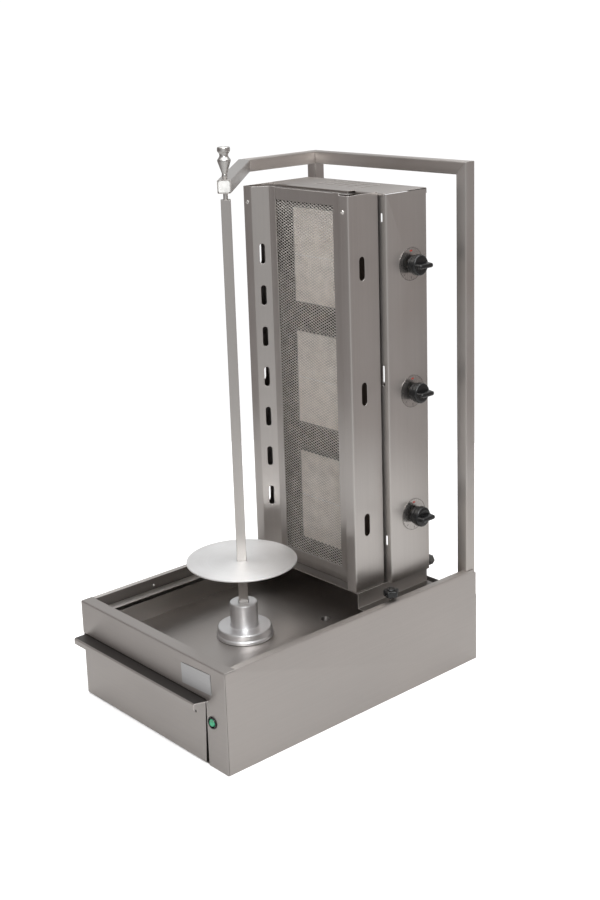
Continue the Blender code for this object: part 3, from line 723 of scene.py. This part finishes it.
# ================================================================ burners
def expanded_guard():
    """Expanded steel: staggered diamond openings, with each strand creased along its middle."""
    low, high, middle = box_of("mesh_guard")
    pitch_x, pitch_z = 10.7 * MM, 5.6 * MM
    open_x, open_z = 0.83, 0.76
    half_thick, margin = 0.4 * MM, 1.0 * MM
    columns = int((high.x - low.x - 2 * margin) / pitch_x)
    rows = int((high.z - low.z - 2 * margin) / pitch_z)
    start_x = middle.x - columns * pitch_x / 2
    start_z = middle.z - rows * pitch_z / 2
    layers = ((1.0, 1.0, 0.0), (open_x, open_z, -half_thick), (open_x, open_z, half_thick))
    points, faces = [], []
    for row in range(2 * rows - 1):
        for column in range(columns - row % 2):
            x = start_x + pitch_x * (column + 0.5 + 0.5 * (row % 2))
            z = start_z + pitch_z * (row + 1) / 2
            first = len(points)
            for share_x, share_z, depth in layers:
                for a, b in ((1, 0), (0, 1), (-1, 0), (0, -1)):
                    reach_x = a * share_x * pitch_x / 2
                    reach_z = b * share_z * pitch_z / 2
                    points.append((x + reach_x, middle.y + depth, z + reach_z))
            for i in range(4):
                j = (i + 1) % 4
                faces.append((first + i, first + j, first + 4 + j, first + 4 + i))
                faces.append((first + 4 + i, first + 4 + j, first + 8 + j, first + 8 + i))
                faces.append((first + 8 + i, first + 8 + j, first + j, first + i))
    mesh = bpy.data.meshes.new("guard_expanded")
    mesh.from_pydata(points, [], faces)
    mesh.materials.append(LOOK["mesh"])
    guard = bpy.data.objects.new("guard_expanded", mesh)
    bpy.context.scene.collection.objects.link(guard)
    stand_for(guard, "mesh_guard")


def top_tab():
    """The folded tab at the front of the cabinet's lid, short of both ends of the slit."""
    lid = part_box("cabinet_top")[1].z
    front, rear, half_width, sheet = 121.5 * MM, 141 * MM, 86 * MM, 1.5 * MM
    under, foot = lid + 0.1 * MM, lid - 2.6 * MM
    top = under + sheet
    fold = [
        (rear, top),
        (front + 0.6 * MM, top),
        (front, top - 0.6 * MM),
        (front, foot),
        (front + sheet, foot),
        (front + sheet, under),
        (rear, under),
    ]
    bm = bmesh.new()
    add_plate(bm, "X", fold, -half_width, half_width)
    tab = soften(mesh_object("cabinet_lid_tab", bm, "steel_x"), 0.35 * MM)
    attach(tab, "carriage", SLOT_OF["cabinet_top"])


def plaque_joints():
    """The bead of cement where the two tiles of each plaque meet."""
    for number in TAPS:
        low, high, middle = box_of(f"ceramic_plaque_{number}")
        bm = bmesh.new()
        front, rear, half = low.y - 0.35 * MM, low.y + 1.4 * MM, 1.0 * MM
        bead = round_rect(front, rear, middle.z - half, middle.z + half, 0.5 * MM)
        add_plate(bm, "X", bead, low.x + half, high.x - half)
        joint = soften(mesh_object(f"plaque_joint_{number}", bm, "cement", sharp=50.0), 0.2 * MM)
        attach(joint, "carriage", SLOT_OF[f"ceramic_plaque_{number}"])


def pan_screw(name, axis, u, v, w, out, radius, body):
    """A pan-head screw with a cross recess. It stands out from w along the axis, towards out."""
    bm = bmesh.new()
    head = [(0, w), (radius, w)]
    for i in range(1, 7):
        angle = math.pi / 2 * i / 6
        head.append((radius * math.cos(angle) ** 0.6, w + out * radius * 0.55 * math.sin(angle)))
    head[-1] = (0.02 * radius, head[-1][1])
    head.append((0, head[-1][1]))
    add_turned(bm, axis, u, v, head, 36)
    screw = mesh_object(name, bm, "screw", sharp=50.0)
    bm = bmesh.new()
    arm, half = radius * 0.52, radius * 0.13
    cross = [
        (arm, half), (half, half), (half, arm), (-half, arm), (-half, half), (-arm, half),
        (-arm, -half), (-half, -half), (-half, -arm), (half, -arm), (half, -half), (arm, -half),
    ]
    spin = Matrix.Rotation(0.5, 2)
    outline = []
    for a, b in cross:
        turned_point = spin @ Vector((a, b))
        outline.append((u + turned_point.x, v + turned_point.y))
    ends = sorted((w + out * radius * 0.3, w + out * radius * 0.8))
    add_plate(bm, axis, outline, *ends)
    tool = mesh_object(name + "_recess", bm, "screw", smooth=False)
    cut = screw.modifiers.new("recess", "BOOLEAN")
    cut.operation = "DIFFERENCE"
    cut.object = tool
    bpy.context.view_layer.update()
    graph = bpy.context.evaluated_depsgraph_get()
    done = bpy.data.meshes.new_from_object(screw.evaluated_get(graph))
    screw.modifiers.clear()
    screw.data = done
    bpy.data.objects.remove(tool)
    attach(screw, body, "bright_steel")


def screws():
    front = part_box("wing_right")[0].y
    for side, x, z in (("left", -133.6, 931.6), ("right", 132.1, 932.5)):
        pan_screw(f"screw_wing_{side}", "Y", x * MM, z * MM, front, -1, 4.0 * MM, "carriage")
    inner_face = -218.5 * MM
    pan_screw("screw_side_left", "X", -153 * MM, 174.5 * MM, inner_face, 1, 2.6 * MM, "base")


# ================================================================ controls
def tick_marks(number, face_x, y, z):
    """Printed ring, graduations and a red off mark on one dial plate."""
    bm = bmesh.new()
    top = face_x + 0.06 * MM
    ring_radius, line, tick_start, tick_end = 31.0 * MM, 0.55 * MM, 23.5, 28.0
    outer = [bm.verts.new((top, u, v)) for u, v in circle(y, z, ring_radius, 96)]
    inner = [bm.verts.new((top, u, v)) for u, v in circle(y, z, ring_radius - line, 96)]
    join_rings(bm, outer, inner)
    for degrees in (135, 180, 225, 270):
        angle = math.radians(degrees)
        across = Vector((-math.sin(angle), math.cos(angle)))
        way = Vector((math.cos(angle), math.sin(angle)))
        corners = []
        for run, side in ((tick_start, -0.5), (tick_end, -0.5), (tick_end, 0.5), (tick_start, 0.5)):
            point = way * run * MM + across * side * MM
            corners.append(bm.verts.new((top, y + point.x, z + point.y)))
        bm.faces.new(corners)
    attach(mesh_object(f"dial_print_{number}", bm, "ink", smooth=False), "carriage", "black_plastic")
    bm = bmesh.new()
    outline = round_rect(y - 3.6 * MM, y + 3.6 * MM, z + 23.4 * MM, z + 26.4 * MM, 1.2 * MM)
    bm.faces.new([bm.verts.new((top, u, v)) for u, v in outline])
    attach(mesh_object(f"dial_off_mark_{number}", bm, "red", smooth=False), "carriage", "black_plastic")


def tap_controls():
    for number in TAPS:
        refined(f"dial_plate_{number}", "plate", 0.15 * MM)
        plate_face, middle = box_of(f"dial_plate_{number}")[1:]
        tick_marks(number, plate_face.x, middle.y, middle.z)
        low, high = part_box(f"knob_{number}")
        knob(number, low.x, high.x, middle.y, middle.z)


def knob(number, start, end, y, z):
    """Skirt, waist, gripping disc and a bevelled pointer bar across it."""
    rim = end - 35.4 * MM
    bm = bmesh.new()
    profile = [
        (0, start),
        (4.5 * MM, start),
        (4.5 * MM, rim + 4.0 * MM),
        (12.5 * MM, rim + 4.0 * MM),
        (12.5 * MM, rim),
        (16.6 * MM, rim),
        (17.6 * MM, rim + 1.2 * MM),
        (16.6 * MM, rim + 5.9 * MM),
        (17.2 * MM, rim + 7.4 * MM),
        (19.6 * MM, rim + 9.0 * MM),
        (20.0 * MM, rim + 10.6 * MM),
        (19.7 * MM, rim + 18.2 * MM),
        (18.2 * MM, rim + 20.6 * MM),
        (15.0 * MM, rim + 21.3 * MM),
        (0, rim + 21.5 * MM),
    ]
    add_turned(bm, "X", y, z, rounded(profile, 1.3 * MM), 80)
    attach(
        mesh_object(f"knob_body_{number}", bm, "black", sharp=40.0),
        f"tap_knob_{number}",
        "black_plastic",
        f"knob_{number}",
    )
    bm = bmesh.new()
    sections = []
    bar_start = rim + 19.0 * MM
    for share in (0.0, 0.35, 0.7, 0.9, 1.0):
        length = (18.4 - 1.6 * share ** 2) * MM
        width = (5.4 - 1.5 * share) * MM
        if share == 1.0:
            length, width = length - 1.3 * MM, width - 1.3 * MM
        outline = round_rect(y - length, y + length, z - width, z + width, width * 0.92, 8)
        x = bar_start + (end - bar_start) * share
        sections.append([bm.verts.new((x, u, v)) for u, v in outline])
    for one, two in zip(sections, sections[1:]):
        join_rings(bm, one, two)
    bm.faces.new(sections[-1])
    bm.faces.new(sections[0][::-1])
    pointer = mesh_object(f"knob_pointer_{number}", bm, "black", sharp=50.0)
    attach(pointer, f"tap_knob_{number}", "black_plastic")


def star_knob():
    """A five-lobed grip on a boss, and the stud that it turns."""
    x, y, grip_low = 203 * MM, 100 * MM, 201 * MM
    bm = bmesh.new()
    count, lobes = 120, 5
    layers = ((0.94, 0.0), (0.985, 0.5), (1.0, 1.6), (1.0, 9.6), (0.97, 11.2), (0.90, 12.0), (0.6, 12.3))
    rings = []
    for scale, height in layers:
        ring = []
        for i in range(count):
            angle = math.tau * i / count
            radius = (13.6 + 1.7 * math.cos(lobes * angle)) * scale * MM
            u, v = x + radius * math.cos(angle), y + radius * math.sin(angle)
            ring.append(bm.verts.new((u, v, grip_low + height * MM)))
        rings.append(ring)
    for one, two in zip(rings, rings[1:]):
        join_rings(bm, one, two)
    bm.faces.new(rings[0][::-1])
    bm.faces.new(rings[-1])
    grip = mesh_object("star_knob_grip", bm, "black", sharp=45.0)
    attach(grip, "clamp_knob", "black_plastic", "star_knob")
    bm = bmesh.new()
    boss = [(0, -4), (6.3, -4), (6.9, -3.4), (8.6, 0.4), (8.6, 13.8), (7.2, 15), (0, 15)]
    profile = [(radius * MM, grip_low + height * MM) for radius, height in boss]
    add_turned(bm, "Z", x, y, rounded(profile, 0.5 * MM), 48)
    attach(mesh_object("star_knob_boss", bm, "black", sharp=40.0), "clamp_knob", "black_plastic")
    bm = bmesh.new()
    foot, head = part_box("star_knob")[0].z, grip_low - 3.6 * MM
    stud = [(0, foot), (2.4 * MM, foot), (3.0 * MM, foot + 0.6 * MM), (3.0 * MM, head), (0, head)]
    add_turned(bm, "Z", x, y, stud, 32)
    attach(mesh_object("star_knob_stud", bm, "bright", sharp=30.0), "clamp_knob", "bright_steel")


def power_switch():
    face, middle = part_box("switch_bezel")[0].y, box_of("switch_bezel")[2]
    bm = bmesh.new()
    ring = [
        (8.6, 16.0), (8.6, 1.2), (8.9, 0.5), (9.4, 0.1), (10.2, 0.0), (10.9, 0.2), (11.4, 0.8),
        (11.5, 1.6), (11.2, 2.1), (9.9, 2.1), (9.9, 20.4), (9.2, 21.4), (8.6, 21.4), (8.6, 16.0),
    ]
    profile = [(radius * MM, face + depth * MM) for radius, depth in ring]
    add_turned(bm, "Y", middle.x, middle.z, profile, 72)
    stand_for(mesh_object("switch_bezel_moulded", bm, "black", sharp=40.0), "switch_bezel")
    refined("switch_rocker", "green", 0.3 * MM, 3)


# ================================================================ stage, lights and camera
def stage():
    bm = bmesh.new()
    bm.faces.new([bm.verts.new((x, y, -0.0005)) for x, y in circle(0, 0, FLOOR_RADIUS, 128)])
    mesh = bpy.data.meshes.new("studio_floor")
    bm.to_mesh(mesh)
    bm.free()
    mesh.materials.append(floor_material())
    floor = bpy.data.objects.new("studio_floor", mesh)
    bpy.context.scene.collection.objects.link(floor)


def floor_material():
    """Pale floor, white to the eye; what it reflects is dimmer towards the front left."""
    paint = Paint("studio_floor", FLOOR_TONE, 0.0, 0.6)
    grain = paint.noise(paint.place(), 40.0, 3.0, 0.6)
    path = paint.node("ShaderNodeLightPath")
    body = paint.mix(paint.remap(grain, 0.0, 1.0), shaded(FLOOR_TONE, 0.98), shaded(FLOOR_TONE, 1.02))
    aim = paint.node("ShaderNodeVectorMath", operation="DOT_PRODUCT")
    paint.link(paint.place(), aim.inputs[0])
    aim.inputs[1].default_value = ROOM_AXIS
    side = paint.mix(paint.remap(aim.outputs["Value"], 0.0, 1.0, -0.7, 0.7), (0.84, 0.84, 0.84), WHITE)
    body = paint.mix(1.0, body, side, "MULTIPLY")
    paint.set_colour(paint.mix(path.outputs["Is Camera Ray"], body, (0.94, 0.94, 0.94)))
    paint.shader.inputs["Specular IOR Level"].default_value = 0.2
    paint.shader.inputs["Emission Color"].default_value = (1, 1, 1, 1)
    glow = paint.math("MULTIPLY", path.outputs["Is Camera Ray"], 0.3)
    paint.link(glow, paint.shader.inputs["Emission Strength"])
    return paint.material


def studio_world():
    """White all round to the eye; the steel sees a room that is dimmer at both ends of ROOM_AXIS."""
    world = bpy.data.worlds.new("studio")
    bpy.context.scene.world = world
    world.use_nodes = True
    tree = world.node_tree
    tree.nodes.clear()
    out = tree.nodes.new("ShaderNodeOutputWorld")
    coords = tree.nodes.new("ShaderNodeTexCoord")
    light = tree.nodes.new("ShaderNodeBackground")
    shown = tree.nodes.new("ShaderNodeBackground")
    shown.inputs["Color"].default_value = (1, 1, 1, 1)
    shown.inputs["Strength"].default_value = 1.05

    def lobe(direction, low, high):
        aim = tree.nodes.new("ShaderNodeVectorMath")
        aim.operation = "DOT_PRODUCT"
        aim.inputs[1].default_value = direction.normalized()
        tree.links.new(coords.outputs["Generated"], aim.inputs[0])
        fall = tree.nodes.new("ShaderNodeMapRange")
        fall.interpolation_type = "SMOOTHSTEP"
        fall.inputs["From Min"].default_value = low
        fall.inputs["From Max"].default_value = high
        tree.links.new(aim.outputs["Value"], fall.inputs["Value"])
        return fall.outputs["Result"]

    def blend(share, first, second):
        mix = tree.nodes.new("ShaderNodeMix")
        mix.data_type = "RGBA"
        tree.links.new(share, mix.inputs[0])
        for socket, value in ((mix.inputs[6], first), (mix.inputs[7], second)):
            if isinstance(value, tuple):
                socket.default_value = (*value, 1.0)
            else:
                tree.links.new(value, socket)
        return mix.outputs[2]

    room = (0.66, 0.66, 0.66)
    room = blend(lobe(-ROOM_AXIS, 0.35, 0.95), room, (0.28, 0.255, 0.25))
    room = blend(lobe(ROOM_AXIS, 0.45, 0.95), room, (0.41, 0.375, 0.365))
    tree.links.new(room, light.inputs["Color"])
    light.inputs["Strength"].default_value = 1.0
    path = tree.nodes.new("ShaderNodeLightPath")
    choose = tree.nodes.new("ShaderNodeMixShader")
    tree.links.new(path.outputs["Is Camera Ray"], choose.inputs[0])
    tree.links.new(light.outputs[0], choose.inputs[1])
    tree.links.new(shown.outputs[0], choose.inputs[2])
    tree.links.new(choose.outputs[0], out.inputs["Surface"])


def softbox(name, place, aim, side, power):
    """A square area light."""
    data = bpy.data.lights.new(name, "AREA")
    data.shape = "SQUARE"
    data.size = side
    data.energy = power
    lamp = bpy.data.objects.new(name, data)
    lamp.location = place
    lamp.rotation_mode = "QUATERNION"
    lamp.rotation_quaternion = (Vector(aim) - Vector(place)).to_track_quat("-Z", "Y")
    lamp.visible_camera = False
    bpy.context.scene.collection.objects.link(lamp)


def lights():
    studio_world()
    softbox("overhead", place=(0.0, 0.1, 2.9), aim=(0, 0, 0), side=2.6, power=60)
    softbox("camera_side", place=(2.0, -1.5, 2.7), aim=(0, 0, 0.4), side=1.6, power=58)


def camera():
    forward = Vector(
        (
            math.sin(CAMERA_YAW) * math.cos(CAMERA_PITCH),
            math.cos(CAMERA_YAW) * math.cos(CAMERA_PITCH),
            math.sin(CAMERA_PITCH),
        )
    )
    right = forward.cross(Vector((0, 0, 1))).normalized()
    up = right.cross(forward)
    side = right * math.cos(CAMERA_ROLL) + up * math.sin(CAMERA_ROLL)
    head = up * math.cos(CAMERA_ROLL) - right * math.sin(CAMERA_ROLL)
    data = bpy.data.cameras.new("camera")
    data.lens = CAMERA_LENS
    data.sensor_width = 36.0
    data.shift_x, data.shift_y = CAMERA_SHIFT
    data.clip_start, data.clip_end = 0.05, 50.0
    eye = bpy.data.objects.new("camera", data)
    eye.matrix_world = Matrix.Translation(CAMERA_PLACE) @ Matrix((side, head, -forward)).transposed().to_4x4()
    bpy.context.scene.collection.objects.link(eye)
    bpy.context.scene.camera = eye


camera()
sheet_metal()
inner_works()
drive_hub()
meat_disc()
skewer()
top_pin()
expanded_guard()
plaque_joints()
top_tab()
screws()
tap_controls()
star_knob()
power_switch()
stage()
lights()
bpy.context.scene.view_settings.view_transform = "Standard"
bpy.context.scene.view_settings.look = "None"
